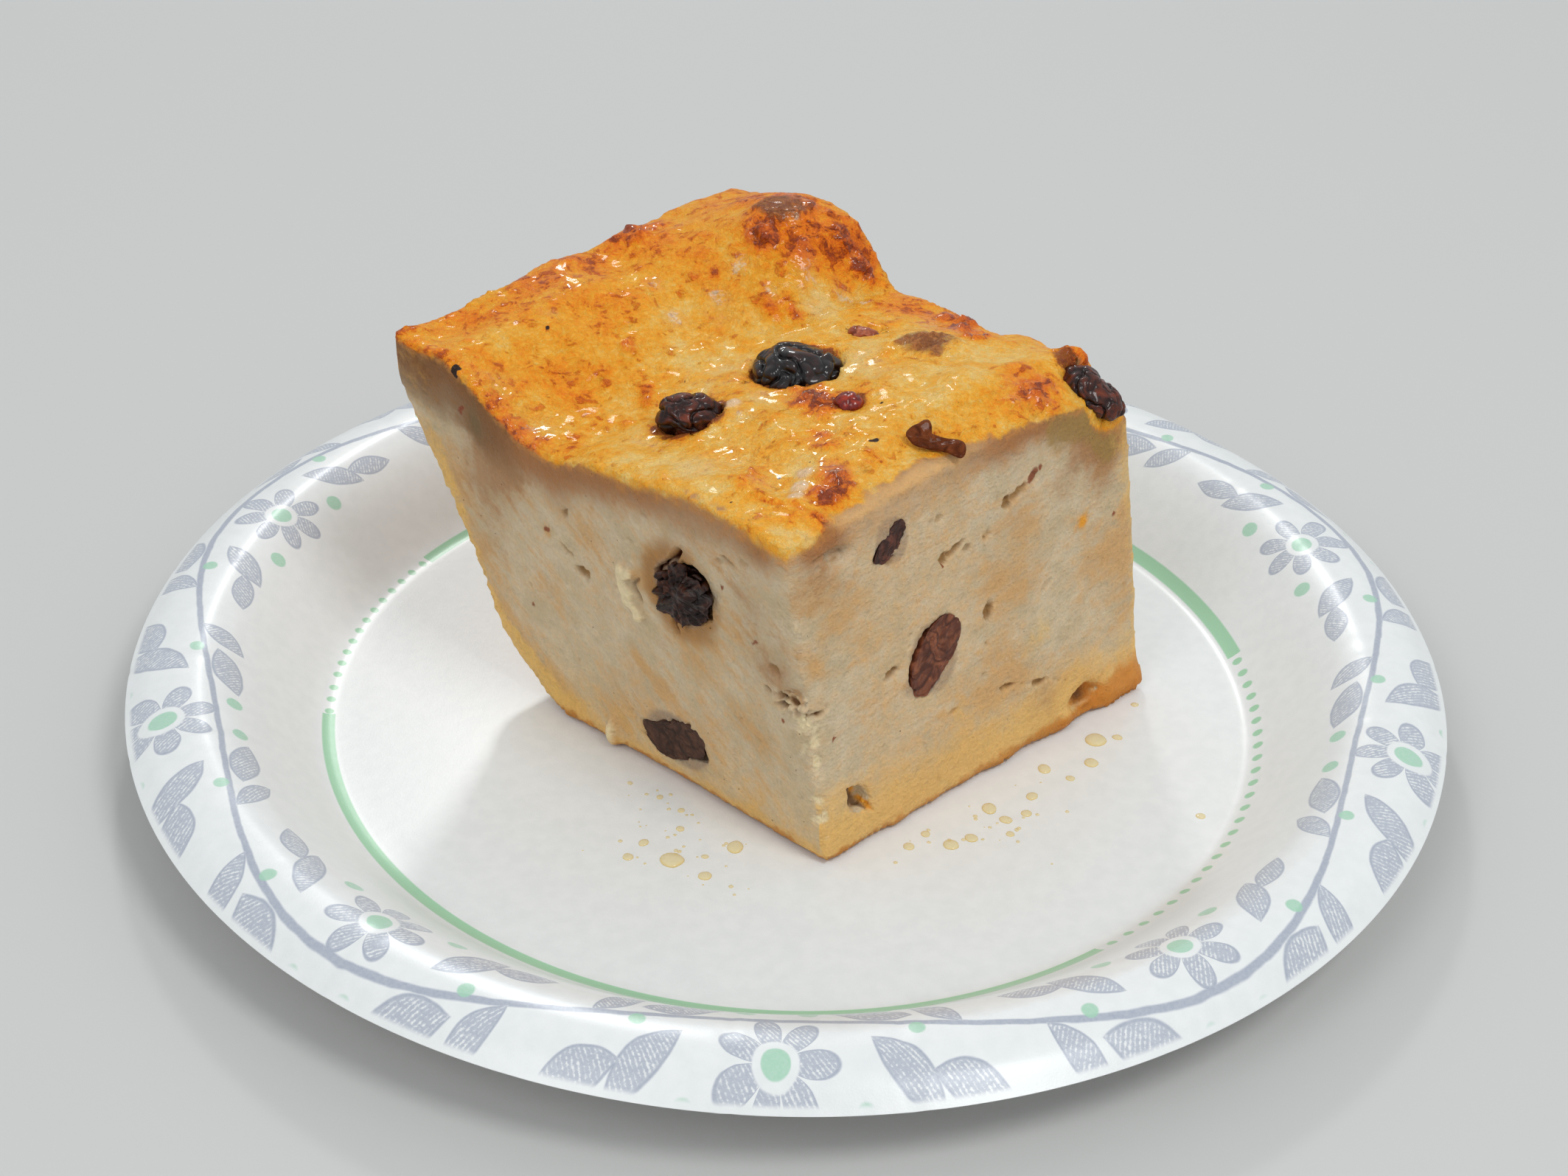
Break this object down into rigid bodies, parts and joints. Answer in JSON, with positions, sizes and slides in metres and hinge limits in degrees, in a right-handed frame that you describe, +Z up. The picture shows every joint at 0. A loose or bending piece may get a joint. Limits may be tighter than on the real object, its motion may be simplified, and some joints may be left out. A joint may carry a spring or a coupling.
{
  "type": "bread pudding on a paper plate",
  "caption": "Square-cut piece of bread pudding with raisins and a browned, craggy top, on a round pressed-paper plate with a leafy border.",
  "frame": {"origin": "middle of the plate's underside, on the surface it rests on", "axes": "+Z up, -Y the front, where the piece shows the upright edge between its two cut faces, +X to the right seen from the front"},
  "size_m": [0.216, 0.216, 0.0742],
  "materials": {
    "coated_paper": "satin coated board with a printed border",
    "baked_custard": "moist cut faces and a glossy browned crust",
    "baked_raisin_skin": "wrinkled and glossy",
    "cut_raisin_flesh": "moist and dull",
    "dried_chip": "dry and leathery"
  },
  "bodies": {
    "root": {"plate": "coated_paper", "pudding": "baked_custard", "raisin_top_large": "baked_raisin_skin", "raisin_top_small": "baked_raisin_skin", "raisin_top_piece": "baked_raisin_skin", "raisin_top_sliver": "baked_raisin_skin", "raisin_corner": "baked_raisin_skin", "raisin_left_upper": "cut_raisin_flesh", "raisin_left_lower": "cut_raisin_flesh", "raisin_right_middle": "cut_raisin_flesh", "raisin_right_upper": "cut_raisin_flesh", "chip": "dried_chip"}
  },
  "joints": []
}
